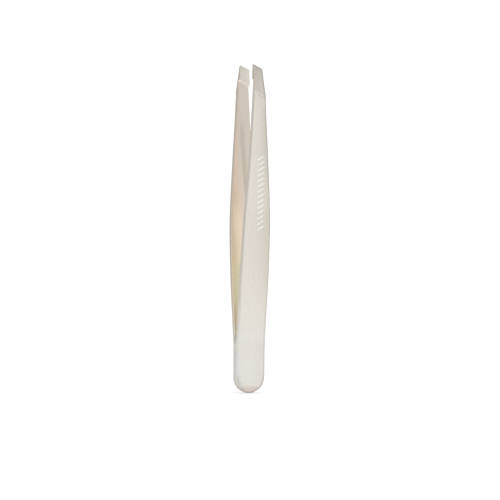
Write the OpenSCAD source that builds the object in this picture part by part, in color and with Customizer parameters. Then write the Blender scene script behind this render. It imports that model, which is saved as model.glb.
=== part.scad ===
// Slant tweezers. Two mirrored blades of spring steel lie flat together at a
// rounded heel, where two spot welds join them, bow apart along the grip and
// end in slanted gripping pads. Millimetres. +Z runs from the heel to the tips,
// X is across the width, Y is across the opening, and the origin is the lowest
// point of the heel, on the plane between the blades. The front blade is on -Y
// and the rear blade on +Y. Each blade is a heel leaf and an arm that meet at
// the flexure, where a round end turns in a round seat. Both are drawn on the
// +Y side and mirrored for the front.

/* [Overall] */
// Length from the rounded heel to the higher corner of the tip
length = 95; // [92:0.5:97]
// Width of the blades at the heel
heel_w = 9.4; // [9.1:0.05:9.8]
// Width of the blades across the tip
tip_w = 2.95; // [2.7:0.05:3.2]
// Thickness of the sheet the blades are stamped from
sheet_t = 1.4; // [1.3:0.05:1.5]

/* [Spring] */
// Largest half gap between the inner faces along the grip
half_gap = 4.05; // [3.85:0.05:4.25]
// Turn of each arm from rest until the pads meet, in degrees
close_angle = 2.8; // [2.7:0.05:2.9]
// Height of the flexure that each arm turns about
flex_z = 27; // [26:0.5:29]
// Radius of the round end at the flexure
flex_r = 1; // [0.9:0.05:1.1]
// Running clearance around the round end
flex_clear = 0.03; // [0.02:0.01:0.05]

/* [Tip] */
// Slant of the tip across its width, in degrees
slant = 22; // [18:0.5:25]
// Slant of the lines where the bevel and the gripping pad begin, in degrees
ground_slant = 26; // [20:0.5:28]
// Height at mid width where the ground bevel on the outer face begins
bevel_z = 86.05; // [85:0.05:87]
// Angle between the ground bevel and the outer face
bevel_angle = 11.6; // [11:0.1:12]
// Length of the short second bevel along the tip's edge
edge_bevel = 0.4; // [0.3:0.05:0.6]
// Thickness left at the very edge of the tip
edge_t = 0.15; // [0.1:0.05:0.25]
// Height at mid width of the step where the gripping pad begins
pad_z = 89.55; // [88.5:0.05:90.5]
// Gap that remains between the two pads when the arms are shut
pad_clear = 0.02; // [0.01:0.01:0.06]

/* [Heel] */
// Height of the crescent facet ground on the outer face of the heel
facet_h = 2.1; // [1.6:0.1:2.6]
// Thickness left on each blade at the bottom of the heel facet
facet_t = 0.5; // [0.35:0.05:0.65]
// Radius of each spot weld nugget
weld_r = 1.6; // [1.2:0.1:2]
// Depth of each nugget into each blade
weld_d = 0.5; // [0.3:0.05:0.6]
// Height of the lower spot weld
weld_lower_z = 5; // [4:0.1:5.5]
// Height of the upper spot weld
weld_upper_z = 11; // [10:0.1:12]

/* [Marks] */
// Number of shallow slanted dashes in the row on the front arm
mark_count = 14; // [4:1:16]
// Height of the lowest dash
mark_z0 = 47.6; // [46:0.1:50]
// Spacing of the dashes
mark_pitch = 1.55; // [1.3:0.05:1.6]
// Depth of the dashes
mark_depth = 0.1; // [0.05:0.01:0.15]

/* [Hidden] */

// Stations of the full width on a 95 mm pair:
// [height, share of the way from tip to heel width]
WIDTH = [[12, 1], [15, 1.016], [18, 1.003], [21, 0.994], [24, 0.99],
         [28, 0.988], [34, 0.994], [38, 0.977], [43, 0.946], [48.6, 0.895],
         [55.8, 0.76], [62, 0.61], [68, 0.479], [76, 0.318], [82, 0.208],
         [88, 0.096], [95.5, -0.005]];
// Stations of the half gap between inner faces on a 95 mm pair:
// [height, share of half_gap]
GAP = [[14.5, 0], [16, 0.025], [18, 0.084], [21, 0.156], [24, 0.24],
       [28, 0.353], [34, 0.475], [41, 0.625], [48.6, 0.765], [56, 0.86],
       [65, 0.95], [72, 0.978], [80, 0.98], [97, 0.98]];
// Corners of one dash, [x, height] from its centre
DASH = [[-1.4, -0.6], [-0.68, -0.6], [1.4, 0.6], [0.68, 0.6]];

scale_z = length / 95;             // stretches the station heights
taper_z = WIDTH[0][0] * scale_z;   // the tabled sides begin
side_step = 2.1 * scale_z;         // spacing of points along the sides
part_z = GAP[0][0] * scale_z;      // the blades begin to part
blank_top = length + 1;            // blades before the tip is cut
heel_r = heel_w / 2;
tip_mid_z = length - tip_w / 2 * tan(slant);

pad_root = 0.5;       // pad block sunk into the sheet
pad_reach = 2.2;      // pad block out from the inner face
pad_root_z = -0.425;  // foot of the pad block at its root, from pad_z
pad_reach_z = 1.33;   // foot of the pad block at its reach, from pad_z
pad_top_z = 12;       // top of the pad block, from pad_z

// The row of dashes passes x = mark_x at height mark_x_z, and shifts
// towards -X by mark_drift for each millimetre up
mark_x = 0.22;
mark_x_z = 68;
mark_drift = 0.027;

outline_depth = 40;  // extrusions and cutters that overshoot the blades
blade_span = 14;
pin_span = 16;
cutter_w = 24;

// A smooth curve through stations that never overshoots them
function chord(table, i) =
    (table[i + 1][1] - table[i][1]) / (table[i + 1][0] - table[i][0]);
// Harmonic mean of the neighbouring chords, level at a peak and at the start
function slope(table, i) =
    i == 0 ? 0 :
    i == len(table) - 1 ? chord(table, i - 1) :
    let (before = chord(table, i - 1), after = chord(table, i))
    before * after <= 0 ? 0 : 2 * before * after / (before + after);
function span(table, x, i = 0) =
    (i >= len(table) - 2 || x <= table[i + 1][0]) ? i : span(table, x, i + 1);
function curve(table, x) =
    x <= table[0][0] ? table[0][1] :
    let (i = span(table, x),
         run = table[i + 1][0] - table[i][0],
         part = (x - table[i][0]) / run,
         rise0 = slope(table, i) * run,
         rise1 = slope(table, i + 1) * run,
         start = table[i][1],
         end = table[i + 1][1])
    start + part * (rise0 + part * (3 * (end - start) - 2 * rise0 - rise1
        + part * (2 * (start - end) + rise0 + rise1)));

// Half width, and Y of the inner and outer faces, at height z
function half_w(z) = (tip_w + (heel_w - tip_w) * curve(WIDTH, z / scale_z)) / 2;
function inner(z) = half_gap * curve(GAP, z / scale_z);
function outer(z) = inner(z) + sheet_t;

flex_y = inner(flex_z) + sheet_t / 2;

// Plane of the pad at rest: it turns upright, on the middle plane, when shut
function pad_y(z) = (z - flex_z) * tan(close_angle)
    + flex_y * (1 - 1 / cos(close_angle)) + pad_clear / 2 / cos(close_angle);

// Outline seen from the front: a half round heel and long tapering sides
module outline() {
    right = concat(
        [for (a = [0 : 7.5 : 90]) [heel_r * sin(a), heel_r - heel_r * cos(a)]],
        [for (z = [taper_z : side_step : blank_top]) [half_w(z), z]],
        [[half_w(blank_top), blank_top + 1]]);
    left = [for (i = [len(right) - 1 : -1 : 1]) [-right[i][0], right[i][1]]];
    rotate([90, 0, 0]) linear_extrude(height = outline_depth, center = true)
        polygon(concat(right, left));
}

// Extrudes a [y, z] profile across the width
module across() {
    rotate([90, 0, 90]) linear_extrude(height = blade_span, center = true)
        children();
}

// Sheet seen from the side, between two heights
module sheet(z0, z1, steps) {
    heights = [for (i = [0:1:steps]) z0 + (z1 - z0) * i / steps];
    across() polygon(concat(
        [for (z = heights) [outer(z), z]],
        [for (i = [steps : -1 : 0]) [inner(heights[i]), heights[i]]]));
}

// Cutting block across the whole width
module cutter(y, z, depth, height) {
    translate([-cutter_w / 2, y, z]) cube([cutter_w, depth, height]);
}

// Everything outside a plane through a point. The plane is slanted across
// the width by tilt and leans by lean towards the middle as it rises.
module beyond(point, tilt, lean) {
    translate(point) rotate([0, tilt, 0]) rotate([lean, 0, 0])
        cutter(y = 0, z = -6, depth = 10, height = 26);
}

module round_end(r) {
    translate([0, flex_y, flex_z]) rotate([0, 90, 0])
        cylinder(r = r, h = pin_span, center = true, $fn = 64);
}

// Spot weld through the middle plane
module nugget(z) {
    translate([0, 0, z]) rotate([90, 0, 0])
        cylinder(r = weld_r, h = 2 * weld_d, center = true, $fn = 64);
}

// Heel leaf: flat and welded, then bending outwards
module leaf() {
    facet_angle = atan((sheet_t - facet_t) / facet_h);
    difference() {
        intersection() {
            union() {
                sheet(-0.5, part_z, steps = 1);
                sheet(part_z, flex_z, steps = 9);
            }
            outline();
        }
        // seat of the round end
        round_end(flex_r + flex_clear);
        // crescent facet at the bottom of the heel
        translate([0, sheet_t, facet_h]) rotate([-facet_angle, 0, 0])
            cutter(y = 0, z = -12, depth = 10, height = 18);
        // room for the spot welds
        nugget(weld_lower_z);
        nugget(weld_upper_z);
    }
}

// Raised pad block inside the tip, with a sloping step at its foot
module pad_block() {
    root_y = inner(pad_z) + pad_root;
    reach_y = inner(pad_z) - pad_reach;
    translate([0, 0, pad_z]) rotate([0, ground_slant, 0])
        across() polygon([[root_y, pad_root_z], [reach_y, pad_reach_z],
                          [reach_y, pad_top_z], [root_y, pad_top_z]]);
}

// Arm, from the flexure to the slanted tip
module arm() {
    difference() {
        intersection() {
            union() {
                sheet(flex_z - 2, blank_top, steps = 34);
                pad_block();
            }
            outline();
        }
        // below the flexure only the round end stays
        difference() {
            cutter(y = -5, z = flex_z - 12, depth = 20, height = 12);
            round_end(flex_r);
        }
        // face of the pad
        translate([0, pad_y(pad_z), pad_z]) rotate([-close_angle, 0, 0])
            cutter(y = -10, z = -4, depth = 10, height = 14);
        // slanted end
        translate([0, 0, tip_mid_z]) rotate([0, slant, 0])
            cutter(y = -2, z = 0, depth = 14, height = 8);
        // ground bevel, then the short bevel along the edge
        beyond([0, outer(bevel_z), bevel_z], ground_slant, bevel_angle);
        beyond([0, pad_y(tip_mid_z) + edge_t + edge_bevel, tip_mid_z - edge_bevel],
               slant, atan(1 / cos(slant)));
    }
}

// One shallow dash, a slanted bar on the outer face of the front arm
module dash(z) {
    lean = atan((outer(z + 1) - outer(z - 1)) / 2);
    translate([mark_x + mark_drift * (mark_x_z - z), -outer(z), z])
        rotate([lean, 0, 0]) rotate([90, 0, 0])
            linear_extrude(height = 2 * mark_depth, center = true)
                polygon(DASH);
}

module front_heel() {
    color("gainsboro") mirror([0, 1, 0]) leaf();
}

module rear_heel() {
    color("gainsboro") leaf();
}

module front_arm() {
    color("gainsboro") difference() {
        mirror([0, 1, 0]) arm();
        for (i = [0:1:mark_count - 1]) dash(mark_z0 + i * mark_pitch);
    }
}

module rear_arm() {
    color("gainsboro") arm();
}

module spot_weld_lower() {
    color("darkgray") nugget(weld_lower_z);
}

module spot_weld_upper() {
    color("darkgray") nugget(weld_upper_z);
}

front_heel();
rear_heel();
front_arm();
rear_arm();
spot_weld_lower();
spot_weld_upper();
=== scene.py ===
"""Two-bladed steel tweezers standing on their heel, tips up along +Z.

The blades mirror each other across the XZ plane: front on -Y, rear on +Y. X runs across
their width. Shapes are in millimetres until meshed; materials and the stage are in metres.
"""

import math
from types import SimpleNamespace

import bmesh
import bpy
import numpy as np
from mathutils import Matrix, Vector


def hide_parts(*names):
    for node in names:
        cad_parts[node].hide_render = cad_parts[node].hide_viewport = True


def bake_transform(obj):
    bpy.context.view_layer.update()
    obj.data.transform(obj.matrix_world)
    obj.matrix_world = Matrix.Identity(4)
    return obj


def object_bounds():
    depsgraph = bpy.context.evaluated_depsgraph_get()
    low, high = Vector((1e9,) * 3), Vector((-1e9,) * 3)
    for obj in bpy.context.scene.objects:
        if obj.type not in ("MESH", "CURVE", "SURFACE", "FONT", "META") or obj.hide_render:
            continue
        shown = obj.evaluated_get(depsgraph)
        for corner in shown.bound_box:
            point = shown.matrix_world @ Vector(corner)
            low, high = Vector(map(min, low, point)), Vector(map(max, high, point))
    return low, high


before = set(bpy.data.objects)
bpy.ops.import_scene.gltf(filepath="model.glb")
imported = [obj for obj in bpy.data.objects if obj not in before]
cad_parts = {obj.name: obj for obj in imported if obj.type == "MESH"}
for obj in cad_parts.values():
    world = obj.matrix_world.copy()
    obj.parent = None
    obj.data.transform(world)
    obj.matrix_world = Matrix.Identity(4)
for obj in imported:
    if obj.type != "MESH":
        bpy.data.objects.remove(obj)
cad_lo, cad_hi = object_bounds()

# ---------------------------------------------------------------------------
# Shape of one blade, millimetres, on the +Y side
# ---------------------------------------------------------------------------
HEEL_W, TIP_W, SHEET = 9.4, 2.95, 1.4
HEEL_R = HEEL_W / 2
HALF_GAP = 4.05
FLEX_Z, CLOSE = 27.0, math.radians(2.8)    # where a blade bends, and how far, to close
SLANT, GROUND = math.radians(22.0), math.radians(26.0)    # slant of tip end and ground lines
BEVEL_Z, BEVEL_ANGLE = 86.05, math.radians(11.6)
END_T = 0.15    # tip thickness at its end
PAD_Z = 89.55    # foot of the ground pad inside the tip
FACET_H, FACET_T = 2.1, 0.5    # height of the heel's outer facet, thickness at its foot
LENGTH = float(cad_hi.z) * 1000.0
TIP_MID = LENGTH - TIP_W / 2 * math.tan(SLANT)

# Edge radii: outer, inner, inner round the heel; then how far the grid clears the rounding
OUTER_R, INNER_R, SEAM_R, LAP = 0.4, 0.12, 0.2, 0.05
EDGE_STEPS, HEEL_ROWS = 7, 9
WALL_SHARES = (0.06, 0.35, 0.65, 0.94)

# A row of shallow slanted dashes on the front blade
DASH_Z, DASH_PITCH, DASH_COUNT = 47.6, 1.55, 14
DASH_RUN, DASH_RISE, DASH_HALF_T = 1.04, 0.6, 0.18    # half extents along X and Z, half width
DASH_DEPTH = 0.08

# height, width as a share of the way from TIP_W to HEEL_W
WIDTH = [(12, 1), (15, 1.016), (18, 1.003), (21, 0.994), (24, 0.99), (28, 0.988),
         (34, 0.994), (38, 0.977), (43, 0.946), (48.6, 0.895), (55.8, 0.76),
         (62, 0.61), (68, 0.479), (76, 0.318), (82, 0.208), (88, 0.096),
         (95.5, -0.005)]
# height, inner face's distance from the mid plane as a share of HALF_GAP
GAP = [(14.5, 0), (16, 0.025), (18, 0.084), (21, 0.156), (24, 0.24), (28, 0.353),
       (34, 0.475), (41, 0.625), (48.6, 0.765), (56, 0.86), (65, 0.95), (72, 0.978),
       (80, 0.98), (97, 0.98)]


def make_curve(stations):
    """Cubic through the stations that doesn't overshoot, held level below the first."""
    places, values = np.array(stations, float).T
    steps = np.diff(places)
    chords = np.diff(values) / steps
    slopes = np.zeros(len(places))
    for i in range(1, len(places) - 1):
        before, after = chords[i - 1], chords[i]
        slopes[i] = 0.0 if before * after <= 0 else 2 * before * after / (before + after)
    slopes[-1] = chords[-1]

    def curve(place):
        place = np.asarray(place, float)
        i = np.clip(np.searchsorted(places, place) - 1, 0, len(places) - 2)
        t = (place - places[i]) / steps[i]
        leave, arrive = slopes[i] * steps[i], slopes[i + 1] * steps[i]
        start, end = values[i], values[i + 1]
        square = 3 * (end - start) - 2 * leave - arrive
        cube = 2 * (start - end) + leave + arrive
        return np.where(place <= places[0], values[0],
                        start + t * (leave + t * (square + t * cube)))

    return curve


width_share, gap_share = make_curve(WIDTH), make_curve(GAP)


def half_width(z):
    return (TIP_W + (HEEL_W - TIP_W) * width_share(z)) / 2


def gap(z):
    return HALF_GAP * gap_share(z)


FLEX_Y = float(gap(FLEX_Z)) + SHEET / 2


def pad_plane(z):
    """Plane that comes 0.01 short of the mid plane when the blade is closed."""
    return (z - FLEX_Z) * math.tan(CLOSE) + FLEX_Y * (1 - 1 / math.cos(CLOSE)) + 0.01


BEVEL_Y = float(gap(BEVEL_Z)) + SHEET
TIP_PAD_Y = float(pad_plane(TIP_MID))
PAD_Y = float(gap(PAD_Z))


def smooth(value, start, end):
    t = np.clip((value - start) / (end - start), 0, 1)
    return t * t * (3 - 2 * t)


def softmin(a, b, width):
    share = np.clip(0.5 + 0.5 * (b - a) / width, 0, 1)
    return b * (1 - share) + a * share - width * share * (1 - share)


def softmax(a, b, width):
    return -softmin(-a, -b, width)


def lean(height):
    """Slope of the mesh row at this mid height: level, then the ground lines', then the tip's."""
    ground, tip = math.tan(GROUND), math.tan(SLANT)
    return ground * smooth(height, 62, 82) + (tip - ground) * smooth(height, 90.9, 93.1)


def ground_z(x, z):
    return z + x * math.tan(GROUND)


def tip_z(x, z):
    return z + x * math.tan(SLANT)


def pad_step(x, z):
    """Height above the foot of the pad, square to its slanted line."""
    return (ground_z(x, z) - PAD_Z) * math.cos(GROUND)


def outer_y(x, z):
    """Outer face: crowned sheet cut by the bevel, the tip's end and the heel's facet."""
    above_bevel = ground_z(x, z) - BEVEL_Z
    crown = (0.07 + 0.08 * smooth(z, 20, 50)) * (1 - smooth(z, 80, 85))
    y = gap(z) + SHEET + crown * (0.4 - (x / half_width(z)) ** 2)
    bevel = BEVEL_Y - above_bevel * math.cos(GROUND) * math.tan(BEVEL_ANGLE)
    y = softmin(y, bevel, 0.02)
    # a fine groove just short of the bevel
    y = y - 0.01 * np.exp(-(((above_bevel + 0.26) / 0.14) ** 2)) * (z > 80)
    y = softmin(y, TIP_PAD_Y + END_T + (TIP_MID - tip_z(x, z)), 0.01)
    facet = FACET_T + (z + 0.05 * x * x) / FACET_H * (SHEET - FACET_T)
    return softmin(y, facet, 0.03)


def inner_y(x, z):
    """Inner face: the sheet, stepped down to the pad's plane near the tip."""
    y = gap(z)
    step = PAD_Y - (pad_step(x, z) + 0.1) / 0.65
    pad = softmax(softmin(y, step, 0.05), pad_plane(z), 0.05)
    return np.where(z > 80, pad, y)


def dash_depth(x, z):
    """0 off the dashes, 1 on them."""
    depth = np.zeros_like(x)
    for i in range(DASH_COUNT):
        centre = DASH_Z + DASH_PITCH * i
        dx, dz = x - 0.22 - 0.027 * (68 - centre), z - centre
        across = (np.abs(dx - dz * (DASH_RUN / DASH_RISE))
                  * DASH_RISE / math.hypot(DASH_RUN, DASH_RISE))
        distance = np.maximum(across - DASH_HALF_T, np.abs(dz) - DASH_RISE)
        depth = np.maximum(depth, 1 - smooth(distance, -0.05, 0.04))
    return depth


def edge_radius(x, z, side):
    """Rounded along the sheet, crisp where the tip is ground."""
    ground = ground_z(x, z)
    if side > 0:
        line, radius, worn = BEVEL_Z, OUTER_R, 0.09
    else:
        line = PAD_Z
        radius = INNER_R + (SEAM_R - INNER_R) * (1 - smooth(z, 14, 22))
        worn = 0.26 - 0.17 * smooth(ground, line + 0.8, line + 3.5)
    radius = radius + (worn - radius) * smooth(ground, line - 0.5, line + 0.3)
    return radius + (0.03 - radius) * smooth(tip_z(x, z), 93.6, 94.1)


# ---------------------------------------------------------------------------
# Finish masks: where each surface treatment lies, and where highlights, reflections and shade are
# painted into the colour. side is 1 on the outer face, -1 on the inner face and 0 on the wall
# between them.
# ---------------------------------------------------------------------------
MASKS = ("ground", "facet", "mark", "glint", "ledge", "seam",
         "rim", "wall", "warm", "band", "edge", "side")


def finish_and_painted_light_masks(x, z, edge, side, is_front):
    above_bevel, step, tip = ground_z(x, z) - BEVEL_Z, pad_step(x, z), tip_z(x, z)
    glint, ledge = np.zeros(len(x)), np.zeros(len(x))
    if side > 0:
        ground = smooth(above_bevel, 0.44, 0.54)
        # painted highlight: a bright line at the foot of the bevel; painted shade: a dark line in
        # the groove below it
        glint = 1.2 * np.exp(-(((above_bevel - 0.24) / 0.17) ** 2))
        glint -= np.exp(-(((above_bevel + 0.26) / 0.15) ** 2)) * smooth(x, -1.3, -0.4)
        glint *= z > 80
    elif side < 0:
        ground = smooth(step, 0.42, 0.54)
        # painted highlight: the ledge at the foot of the pad is made pale and less metallic
        ledge = smooth(step, -0.14, -0.04) * (1 - ground) * (z > 80)
    else:
        ground = smooth(tip, 93.8, 94.0)
    # painted shade: the rim is darkened along the right, round the heel and along the tip's end
    right = 1 - smooth(half_width(z) - x, 0.4, 0.72)
    inset = HEEL_R - np.hypot(x, HEEL_R - z)
    heel = (1 - smooth(inset, 0.4, 1.3)) * np.maximum(smooth(x, 0, 3), 0.5 * smooth(-x, 1, 3))
    tip_end = 1.25 * smooth(tip, TIP_MID - 0.6, TIP_MID - 0.45)
    rim = np.maximum(np.where(z > HEEL_R, right, heel), tip_end)
    left_wall = (side == 0) * (x < 0)
    near_left = 1 - smooth(x + half_width(z), 0.6, 1.0)
    return {
        "ground": ground,
        "facet": (1 - smooth(z + 0.05 * x * x, FACET_H - 0.04, FACET_H + 0.02)) * (side > 0),
        "mark": dash_depth(x, z) * (is_front and side > 0),
        "glint": glint,
        "ledge": ledge,
        # painted shade where the inner faces close together above the heel
        "seam": np.maximum(0.8, smooth(z, 12.5, 14.5)) * (1 - smooth(z, 15.2, 17.5)) * (side < 0),
        "rim": rim * (side >= 0),
        # painted reflection: a reddish tint on the front blade's left wall
        "wall": is_front * left_wall * smooth(z, 16, 24) * (1 - smooth(z, 86, 92)),
        # painted reflection: a warmer tint low on the left walls
        "warm": left_wall * smooth(z, 14, 22) * (1 - 0.7 * smooth(z, 28, 42)),
        # painted highlight: a lighter band along the left of the inner faces
        "band": near_left * smooth(z, 52, 58) * (1 - smooth(z, 70, 80)) * (side < 0),
        "edge": np.full(len(x), edge, float),
        "side": np.full(len(x), side, float),
    }


# ---------------------------------------------------------------------------
# Mesh of a blade: a grid over each face, joined by rings round the edge.
# Outline points are (x, z); "across" runs from -1 at the left to 1 at the right.
# ---------------------------------------------------------------------------
def column_places(dense):
    if not dense:
        return np.linspace(-1, 1, 29)
    middle = np.linspace(-0.46, 0.46, 47)
    outside = np.linspace(0.46, 1, 11)[1:]
    return np.concatenate([-outside[::-1], middle, outside])


def row_heights(dense, last):
    """Mid heights of the arm's rows, close together at the dashes and the ground lines."""
    spans = [(HEEL_R + 0.7, 14, 0.8), (14, 46, 0.7), (46, 70, 0.11 if dense else 0.7),
             (70, last - 0.05, 0.6)]    # start, end, step
    heights = [z for span in spans for z in np.arange(*span)]
    for line in (BEVEL_Z, PAD_Z - 0.11, PAD_Z + 0.52, TIP_MID - 0.48):
        heights += [line + d for d in (-0.26, -0.1, -0.035, 0, 0.035, 0.1, 0.26)]
    heights += [BEVEL_Z + d for d in (-0.5, -0.42, -0.34, -0.18, -0.06,
                                      0.18, 0.36, 0.46, 0.56, 0.66)]
    heights += [PAD_Z + d for d in (0.0, 0.1, 0.2, 0.3, 0.4)]
    heights = sorted(z for z in heights if z < last - 0.03) + [last]
    kept = [heights[0]]
    for z in heights[1:]:
        if z - kept[-1] > 0.028 or z == last:
            kept.append(z)
    return np.array(kept)


def heel_arc(radius, angle):
    """Points about the heel's centre; the angle runs from straight down towards +X."""
    return np.stack([radius * np.sin(angle), HEEL_R - radius * np.cos(angle)], -1)


def heel_rows(across, radius):
    """Patch filling the heel's half disc: quarter arc below, arcs beside, level top."""
    share = (across + 1) / 2
    bottom = heel_arc(radius, across * math.pi / 4)
    top = np.stack([radius * across, np.full(len(across), HEEL_R)], 1)
    rows = []
    for j in range(HEEL_ROWS + 1):
        rise = j / HEEL_ROWS
        angle = math.pi / 4 * (1 + rise)
        left, right = heel_arc(radius, -angle), heel_arc(radius, angle)
        points = (1 - rise) * bottom + rise * top
        # move the row's ends onto the side arcs
        points += np.outer(1 - share, left - (1 - rise) * bottom[0] - rise * top[0])
        points += np.outer(share, right - (1 - rise) * bottom[-1] - rise * top[-1])
        rows.append(points)
    return rows


def arm_row(across, height, inset):
    """Points along the leaning row at this mid height, its ends inset from the outline."""
    ends = []
    for sign in (-1, 1):
        z = height
        for _ in range(6):
            x = sign * (half_width(z) - inset)
            z = height - x * lean(height)
        ends.append(x)
    x = ends[0] + (ends[1] - ends[0]) * (across + 1) / 2
    return np.stack([x, height - x * lean(height)], -1)


def tip_row_height(inset):
    return TIP_MID - inset / math.cos(SLANT)


def grid_border(row_count, column_count):
    """Row and column of each border point, anticlockwise with +X right and +Z up."""
    border = [(0, i) for i in range(column_count)]
    border += [(j, column_count - 1) for j in range(1, row_count)]
    border += [(row_count - 1, i) for i in range(column_count - 2, -1, -1)]
    border += [(j, 0) for j in range(row_count - 2, 0, -1)]
    return np.array(border).T


def thickness(x, z):
    return outer_y(x, z) - inner_y(x, z)


class Skin:
    """Collects a blade's points and their masks of finish and of painted light and shade."""

    def __init__(self, is_front):
        self.is_front = is_front
        self.count = 0
        self.points = []
        self.masks = {name: [] for name in MASKS}

    def add(self, outline, y, edge, side):
        """Adds points and returns their indices."""
        x, z = outline.T
        self.points.append(np.stack([x, y, z], 1))
        for name, values in finish_and_painted_light_masks(x, z, edge, side, self.is_front).items():
            self.masks[name].append(values)
        first = self.count
        self.count += len(x)
        return np.arange(first, self.count)


def blade(name, is_front):
    across = column_places(is_front)
    core_inset = OUTER_R + LAP
    heights = row_heights(is_front, tip_row_height(core_inset))
    grid = np.array(heel_rows(across, HEEL_R - core_inset)
                    + [arm_row(across, height, core_inset) for height in heights])
    row_count, column_count = grid.shape[:2]
    border_row, border_column = grid_border(row_count, column_count)
    border_across = across[border_column]
    turn = math.pi / 4 * np.where(border_row == 0, border_across,
                                  np.sign(border_across) * (1 + border_row / HEEL_ROWS))

    def outline(inset):
        """The border's points at this inset from the blade's outline."""
        height = np.where(border_row == row_count - 1, tip_row_height(inset),
                          heights[border_row - HEEL_ROWS - 1])
        return np.where((border_row <= HEEL_ROWS)[:, None], heel_arc(HEEL_R - inset, turn),
                        arm_row(border_across, height, inset))

    skin = Skin(is_front)
    rim = outline(0.0)

    def round_edge(side, surface, steps):
        radius = edge_radius(*rim.T, side)
        rings = []
        for step in steps:
            angle = math.pi / 2 * step / EDGE_STEPS
            points = outline(radius * (1 - math.sin(angle)))
            drop = np.minimum(radius, 0.42 * thickness(*points.T)) * (1 - math.cos(angle))
            y = surface(*points.T) - side * drop
            rings.append(skin.add(points, y, math.sin(angle), side))
        return rings

    def wall_end(side, surface):
        radius = np.minimum(edge_radius(*rim.T, side), 0.42 * thickness(*rim.T))
        return surface(*rim.T) - side * radius

    core = grid.reshape(-1, 2)
    core_y = outer_y(*core.T)
    if is_front:
        core_y = core_y - DASH_DEPTH * dash_depth(*core.T)
    outer_core = skin.add(core, core_y, 0.0, 1)
    rings = round_edge(1, outer_y, range(EDGE_STEPS + 1))
    start, end = wall_end(1, outer_y), wall_end(-1, inner_y)
    rings += [skin.add(rim, start + (end - start) * share, 0.6, 0) for share in WALL_SHARES]
    rings += round_edge(-1, inner_y, range(EDGE_STEPS, -1, -1))
    inner_core = skin.add(core, inner_y(*core.T), 0.0, -1)

    faces = []
    for j in range(row_count - 1):
        for i in range(column_count - 1):
            corner = j * column_count + i
            quad = [corner, corner + 1, corner + column_count + 1, corner + column_count]
            faces.append(outer_core[quad[::-1]].tolist())
            faces.append(inner_core[quad].tolist())
    border = border_row * column_count + border_column
    chain = [outer_core[border], *rings, inner_core[border]]
    for ring, following in zip(chain, chain[1:]):
        faces += np.stack([ring, np.roll(ring, -1), np.roll(following, -1), following],
                          1).tolist()

    points = np.concatenate(skin.points)
    if is_front:
        points[:, 1] *= -1
        faces = [face[::-1] for face in faces]
    return blade_object(name, points / 1000.0, faces, skin.masks)


def blade_object(name, points, faces, masks):
    mesh = bpy.data.meshes.new(name)
    mesh.from_pydata(points.tolist(), [], faces)
    for key, values in masks.items():
        layer = mesh.attributes.new(key, "FLOAT", "POINT")
        layer.data.foreach_set("value", np.concatenate(values).astype(np.float32))
    rest = mesh.attributes.new("rest", "FLOAT_VECTOR", "POINT")
    rest.data.foreach_set("vector", points.astype(np.float32).ravel())
    mesh.validate()
    bm = bmesh.new()
    bm.from_mesh(mesh)
    bmesh.ops.recalc_face_normals(bm, faces=bm.faces)
    bm.to_mesh(mesh)
    bm.free()
    mesh.shade_smooth()
    ob = bpy.data.objects.new(name, mesh)
    bpy.context.scene.collection.objects.link(ob)
    return ob


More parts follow.
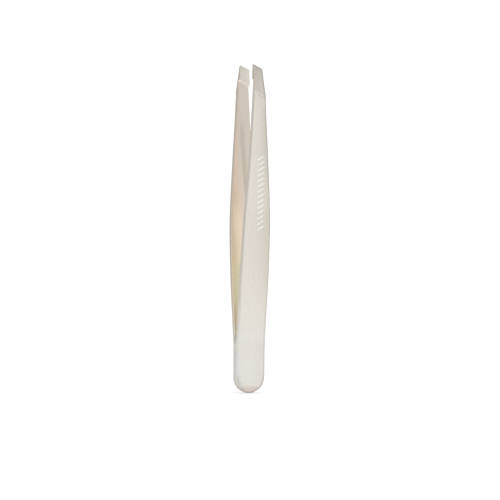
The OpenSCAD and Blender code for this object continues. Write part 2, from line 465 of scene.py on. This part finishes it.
# ---------------------------------------------------------------------------
# Shader node helpers
# ---------------------------------------------------------------------------
class Nodes:
    def __init__(self, tree):
        self.tree = tree
        tree.nodes.clear()

    def new(self, kind, inputs=(), **settings):
        node = self.tree.nodes.new(kind)
        for key, value in settings.items():
            setattr(node, key, value)
        for key, value in dict(inputs).items():
            self.put(node.inputs[key], value)
        return node

    def put(self, socket, value):
        if isinstance(value, bpy.types.NodeSocket):
            self.tree.links.new(value, socket)
        elif hasattr(value, "__len__") and len(value) == 3 and len(socket.default_value) == 4:
            socket.default_value = (*value, 1.0)
        else:
            socket.default_value = value

    def math(self, operation, first, second=0.0, third=None, clamp=False):
        inputs = {0: first, 1: second}
        if third is not None:
            inputs[2] = third
        return self.new("ShaderNodeMath", inputs, operation=operation, use_clamp=clamp).outputs[0]

    def times(self, product, *factors):
        for factor in factors:
            product = self.math("MULTIPLY", product, factor)
        return product

    def scale_add(self, value, scale, offset, clamp=False):
        return self.math("MULTIPLY_ADD", value, scale, offset, clamp)

    def ramp(self, value, span, to=(0.0, 1.0), kind="SMOOTHSTEP"):
        inputs = {"Value": value, "From Min": span[0], "From Max": span[1],
                  "To Min": to[0], "To Max": to[1]}
        return self.new("ShaderNodeMapRange", inputs, interpolation_type=kind).outputs["Result"]

    def window(self, value, rise, fall):
        return self.times(self.ramp(value, rise), self.ramp(value, fall))

    def mix(self, factor, first, second, kind="RGBA", blend="MIX"):
        node = self.new("ShaderNodeMix", data_type=kind, blend_type=blend)
        sockets = [s for s in node.inputs if s.enabled]
        for socket, value in zip(sockets, (factor, first, second)):
            self.put(socket, value)
        return [s for s in node.outputs if s.enabled][0]

    def tint(self, factor, base, colour):
        return self.mix(factor, base, colour, blend="MULTIPLY")

    def axis(self, vector, index):
        return self.new("ShaderNodeSeparateXYZ", {0: vector}).outputs[index]

    def coordinates(self, output):
        return self.new("ShaderNodeTexCoord").outputs[output]

    def attribute(self, name, output="Fac"):
        return self.new("ShaderNodeAttribute", attribute_name=name).outputs[output]

    def noise(self, vector, scale=1.0, detail=2.0, roughness=0.5):
        return self.new("ShaderNodeTexNoise", {"Vector": vector, "Scale": scale, "Detail": detail,
                                               "Roughness": roughness}).outputs[0]

    def mapped(self, vector, scale, rotation=(0, 0, 0)):
        return self.new("ShaderNodeMapping", {"Vector": vector, "Rotation": rotation,
                                              "Scale": scale}).outputs[0]

    def vector_math(self, operation, *vectors):
        return self.new("ShaderNodeVectorMath", enumerate(vectors), operation=operation).outputs

    def is_glossy(self):
        return self.new("ShaderNodeLightPath").outputs["Is Glossy Ray"]

    def mix_shader(self, factor, first, second):
        return self.new("ShaderNodeMixShader",
                        {0: factor, 1: first.outputs[0], 2: second.outputs[0]})

    def output(self, shader, kind="Material"):
        self.new("ShaderNodeOutput" + kind, {"Surface": shader.outputs[0]})


def new_material(name):
    material = bpy.data.materials.new(name)
    material.use_nodes = True
    return material, Nodes(material.node_tree)


# ---------------------------------------------------------------------------
# Steel. Spans of height and x are in metres.
# ---------------------------------------------------------------------------
NOISE_SPAN = (0.3, 0.7)    # the range of noise stretched to 0..1


def scaled(colour, factor):
    return tuple(c * factor for c in colour)


def sheet_colour(net, colour, streaks, cloud, height, x, mask):
    """Streaked and clouded steel, neutral near the heel, with painted shade low down and towards
    the right and painted reflection tints at the bend and on the left walls.
    """
    base = net.mix(net.ramp(streaks, span=(0.35, 0.65)), scaled(colour, 0.985),
                   scaled(colour, 1.01))
    base = net.mix(net.ramp(cloud, NOISE_SPAN, to=(0.0, 0.35)), base, scaled(colour, 0.97))
    base = net.mix(net.ramp(height, span=(0.03, 0.008)), base, (0.838, 0.826, 0.788))
    # painted reflection: slightly cooler and darker around the bend
    knee_reflection_tint = net.window(height, rise=(0.0135, 0.0155), fall=(0.0245, 0.018))
    base = net.tint(knee_reflection_tint, base, (0.97, 0.985, 0.98))
    # painted shade: darker low on the sheet, more so towards the right
    low = net.times(net.window(height, rise=(0.012, 0.043), fall=(0.056, 0.046)),
                    net.ramp(x, span=(-0.0035, 0.0038), to=(0.35, 1.0), kind="LINEAR"))
    base = net.mix(low, base, (0.745, 0.712, 0.645))
    # painted shade: a slight darkening towards the right
    right_shade = net.mix(net.ramp(height, span=(0.02, 0.035)), (0.975, 0.97, 0.975),
                   (0.965, 0.955, 0.93))
    base = net.tint(net.ramp(x, span=(-0.0005, 0.0042)), base, right_shade)
    # painted reflection: reddish tint on the front blade's left wall
    base = net.mix(mask.wall, base, (1.07, 0.97, 0.915))
    # painted reflection: warmer tint low on the left walls
    return net.tint(mask.warm, base, (1.04, 0.95, 0.83))


def inner_colour(net, height, x):
    """Straw tones of the inner faces, changing with height: painted reflections of the facing
    blade, with a painted highlight where lit.
    """
    reflected_straw = net.mix(net.ramp(height, span=(0.05, 0.08)), (0.865, 0.785, 0.695),
                    (0.76, 0.685, 0.61))
    reflected_straw = net.mix(net.ramp(height, span=(0.036, 0.058)), (0.99, 0.925, 0.82), reflected_straw)
    reflected_straw = net.mix(net.ramp(height, span=(0.040, 0.026), to=(0.0, 0.9)), reflected_straw,
                    (1.14, 0.965, 0.885))
    reflected_straw = net.mix(net.ramp(height, span=(0.024, 0.017)), reflected_straw, (1.04, 1.0, 0.91))
    lit = net.times(net.window(height, rise=(0.025, 0.031), fall=(0.044, 0.037)),
                    net.ramp(x, span=(-0.002, 0.001)))
    return net.tint(lit, reflected_straw, (1.05, 1.07, 1.07))


def inner_shade(net, height, x, inside):
    """Soft shade lying aslant on the middle of the inner faces."""
    drift = net.math("ADD", x, net.scale_add(height, scale=0.0863, offset=-0.005246))
    return net.times(net.window(drift, rise=(-0.0002, 0.0005), fall=(0.0026, 0.0008)),
                     net.window(height, rise=(0.052, 0.058), fall=(0.082, 0.072)),
                     net.times(inside, 0.5))


def ground_colour(net, base, colour, place, height, mask):
    """Bevels and pads: brighter towards the right, each pad's last part a cooler grey painted in
    as a reflection.
    """
    cut = tuple(c * share for c, share in zip(colour, (0.93, 0.92, 0.91)))
    base = net.mix(net.times(mask.ground, 0.75), base, cut)
    rightward_brightening = net.ramp(net.axis(place, 0), span=(-0.0016, 0.0014), to=(-0.03, 0.04),
                      kind="LINEAR")
    base = net.tint(1.0, base, net.math("ADD", 1.0, net.times(mask.ground, rightward_brightening)))
    lift = net.ramp(height, span=(0.0895, 0.0943), to=(0.11, -0.06), kind="LINEAR")
    base = net.tint(1.0, base, net.scale_add(mask.bevel, lift, offset=1.0))
    pad = net.math("SUBTRACT", mask.ground, mask.bevel)
    base = net.tint(1.0, base, net.scale_add(pad, scale=0.05, offset=1.0))
    # painted reflection: the last part of each pad is a cooler grey
    tip_facet_reflection = net.times(pad, net.ramp(height, span=(0.0933, 0.0937)))
    return net.tint(tip_facet_reflection, base, (0.92, 0.955, 0.94))


def detail_colour(net, base, mask):
    groove_shade = net.math("MAXIMUM", net.times(mask.glint, -1.0), 0.0)
    # strength, colour
    for strength, colour in (
            (net.times(mask.facet, 0.9), (0.845, 0.775, 0.72)),
            (net.times(mask.mark, 0.85), (0.965, 0.96, 0.945)),
            # painted highlight at the foot of the bevel
            (net.math("MAXIMUM", mask.glint, 0.0), (1.13, 1.08, 0.97)),
            # painted shade in the groove below the bevel
            (net.times(groove_shade, 0.75), (0.60, 0.57, 0.53)),
            # painted shade where the inner faces close above the heel
            (net.times(mask.seam, 0.85), (0.36, 0.34, 0.31)),
            # painted shade along the rim
            (net.times(mask.rim, 0.75), (0.585, 0.555, 0.52)),
            # painted highlight along the pad's ledge
            (mask.ledge, (0.86, 0.81, 0.71))):
        base = net.mix(strength, base, colour)
    return base


def steel_roughness(net, grain, cloud, dullness, mask):
    depth = net.scale_add(mask.ground, scale=-0.015, offset=0.03)
    rough = net.scale_add(net.ramp(grain, NOISE_SPAN), depth, offset=dullness - 0.015)
    # mask, what it adds to the roughness
    for area, change in ((net.ramp(cloud, NOISE_SPAN), 0.015), (mask.inside, -0.05),
                         (mask.edge, -0.08), (mask.mark, 0.22), (mask.ledge, 0.3)):
        rough = net.scale_add(area, change, rough)
    return net.scale_add(mask.facet, 0.08, rough, clamp=True)


def steel(name, colour, dullness, masked=True):
    """Brushed steel; without masks it is the plain sheet finish all over."""
    material, net = new_material(name)
    place = net.attribute("rest", "Vector") if masked else net.coordinates("Object")
    mask = SimpleNamespace(**{key: net.attribute(key) if masked else 0.0 for key in MASKS})
    mask.inside = mask.bevel = 0.0
    if masked:
        mask.inside = net.times(net.ramp(mask.side, span=(-0.2, -0.8)),
                                net.math("SUBTRACT", 1.0, mask.ground))
        mask.bevel = net.times(mask.ground, net.ramp(mask.side, span=(0.3, 0.9)))
    # brush lines run along Z: fine across X, long along Z
    brushed = net.noise(net.mapped(place, scale=(9000, 2500, 160)), detail=3.0, roughness=0.6)
    streaks = net.noise(net.mapped(place, scale=(2600, 900, 45)))
    # ground faces near the tip are cut across, along the slant
    cut = net.mapped(place, scale=(300, 2500, 7000), rotation=(0, -SLANT, 0))
    grain = net.mix(mask.ground, brushed, net.noise(cut, detail=3.0, roughness=0.6), "FLOAT")
    cloud = net.noise(place, scale=90.0)
    height, x = net.axis(place, 2), net.axis(place, 0)

    base = sheet_colour(net, colour, streaks, cloud, height, x, mask)
    base = net.mix(mask.inside, base, inner_colour(net, height, x))
    # painted highlight: the left band of the inner faces is lightened
    base = net.tint(mask.band, base, (1.07, 1.02, 1.02))
    base = net.mix(inner_shade(net, height, x, mask.inside), base, (0.52, 0.465, 0.40))
    base = ground_colour(net, base, colour, place, height, mask)
    base = detail_colour(net, base, mask)
    bump = net.new("ShaderNodeBump", {
        "Height": grain,
        "Strength": net.scale_add(mask.ground, scale=-0.05, offset=0.07),
        "Distance": 0.000002})
    net.output(net.new("ShaderNodeBsdfPrincipled", {
        "Base Color": base,
        "Metallic": net.times(net.scale_add(mask.ledge, scale=-0.85, offset=1.0),
                              net.scale_add(mask.mark, scale=-0.45, offset=1.0)),
        "Roughness": steel_roughness(net, grain, cloud, dullness, mask),
        "Normal": bump.outputs[0]}))
    return material


blade_steel = steel("satin_steel", colour=(0.84, 0.805, 0.745), dullness=0.27)
weld_steel = steel("weld_steel", colour=(0.46, 0.45, 0.44), dullness=0.45, masked=False)

front_blade = blade("front_blade", True)
rear_blade = blade("rear_blade", False)
for ob in (front_blade, rear_blade):
    ob.data.materials.append(blade_steel)
for weld in ("spot_weld_lower", "spot_weld_upper"):
    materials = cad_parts[weld].data.materials
    materials.clear()
    materials.append(weld_steel)
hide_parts("front_heel", "front_arm")
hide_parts("rear_heel", "rear_arm")
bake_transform(front_blade)
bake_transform(rear_blade)

# ---------------------------------------------------------------------------
# Stage, light and camera, metres
# ---------------------------------------------------------------------------
scene = bpy.context.scene
scene.view_settings.view_transform = "Standard"
scene.cycles.glossy_bounces = 10


def direction(azimuth, elevation=0.0):
    """Unit vector; azimuth in degrees from -Y towards +X."""
    a, e = math.radians(azimuth), math.radians(elevation)
    return Vector((math.sin(a) * math.cos(e), -math.cos(a) * math.cos(e), math.sin(e)))


def floor_material():
    """Pale paint fading out at the rim, darker where the metal mirrors it."""
    material, net = new_material("pale_floor")
    place = net.coordinates("Object")
    distance = net.vector_math("LENGTH", place)["Value"]
    speck = net.noise(place, scale=60.0, detail=3.0)
    paint = net.mix(net.ramp(speck, NOISE_SPAN), (0.94, 0.94, 0.94), (0.96, 0.96, 0.96))
    # darkest along the diagonal from left front to right rear
    outward = net.vector_math("NORMALIZE", place)["Vector"]
    aim = net.vector_math("DOT_PRODUCT", outward, direction(-45))["Value"]
    diagonal = net.times(aim, aim, net.ramp(distance, span=(0.003, 0.015)))
    mirrored = net.mix(diagonal, (0.815, 0.805, 0.795), (0.62, 0.62, 0.625))
    colour = net.mix(net.is_glossy(), paint, mirrored)
    net.output(net.mix_shader(net.ramp(distance, span=(0.25, 0.85)),
                              net.new("ShaderNodeBsdfDiffuse", {"Color": colour}),
                              net.new("ShaderNodeBsdfTransparent")))
    return material


bpy.ops.mesh.primitive_circle_add(vertices=96, radius=0.9, fill_type="NGON",
                                  location=(0, 0, -0.00002))
floor = bpy.context.object
floor.name = "floor"
floor.data.materials.append(floor_material())

# What the metal mirrors besides a pale room: azimuth, brightness added, sharpness
LOBES = [(-25, 0.13, 7), (-52, -0.28, 7), (148, 0.34, 5), (-145, -0.46, 4.5),
         (66, -0.42, 9), (105, -0.22, 6)]


def studio_world():
    world = bpy.data.worlds.new("studio")
    scene.world = world
    world.use_nodes = True
    net = Nodes(world.node_tree)
    view = net.coordinates("Generated")

    def toward(axis):
        return net.vector_math("DOT_PRODUCT", view, axis)["Value"]

    up = toward((0, 0, 1))
    value = 0.93    # the room's brightness
    for azimuth, amount, sharpness in LOBES:
        falloff = net.times(net.math("SUBTRACT", toward(direction(azimuth)), 1.0), sharpness)
        value = net.math("ADD", value, net.times(net.math("EXPONENT", falloff), amount))
    value = net.times(value, net.ramp(up, span=(0.05, 0.55), to=(1.0, 0.72)),
                      net.ramp(up, span=(0.70, 0.97), to=(1.0, 0.75)))
    colour = net.tint(1.0, (1.0, 0.985, 0.965), value)
    mirrored = net.new("ShaderNodeBackground", {"Color": colour, "Strength": 1.0})
    seen = net.new("ShaderNodeBackground", {"Color": (1, 1, 1), "Strength": 1.06})
    not_glossy = net.math("SUBTRACT", 1.0, net.is_glossy())
    net.output(net.mix_shader(not_glossy, mirrored, seen), "World")


def softbox(name, azimuth, elevation, size, energy, distance=0.9):
    light = bpy.data.lights.new(name, "AREA")
    light.shape = "RECTANGLE"
    light.size, light.size_y = size
    light.energy = energy
    ob = bpy.data.objects.new(name, light)
    scene.collection.objects.link(ob)
    back = direction(azimuth, elevation)
    ob.location = Vector((0, 0, 0.045)) + back * distance
    ob.rotation_mode = "QUATERNION"
    ob.rotation_quaternion = (-back).to_track_quat("-Z", "Y")
    ob.visible_camera = False
    ob.visible_glossy = False


def add_camera(azimuth, view_width, target_z, shift_right, roll):
    """Level camera whose frame is view_width wide at the tweezers."""
    data = bpy.data.cameras.new("camera")
    data.type = "PERSP"
    data.sensor_width = 36.0
    data.lens = 200.0
    data.clip_start, data.clip_end = 0.01, 10.0
    camera = bpy.data.objects.new("camera", data)
    scene.collection.objects.link(camera)
    back, right = direction(azimuth), direction(azimuth + 90)
    distance = view_width * data.lens / data.sensor_width
    camera.location = Vector((0, 0, target_z)) + right * shift_right + back * distance
    camera.rotation_mode = "QUATERNION"
    turn = Matrix.Rotation(math.radians(roll), 4, "Z").to_quaternion()
    camera.rotation_quaternion = (-back).to_track_quat("-Z", "Y") @ turn
    scene.camera = camera


studio_world()
softbox("key", azimuth=60, elevation=52, size=(0.7, 0.5), energy=1.2)
softbox("fill", azimuth=-75, elevation=40, size=(0.5, 0.5), energy=0.6)
add_camera(azimuth=-32, view_width=0.1448, target_z=0.04136, shift_right=0.00013, roll=0.39)
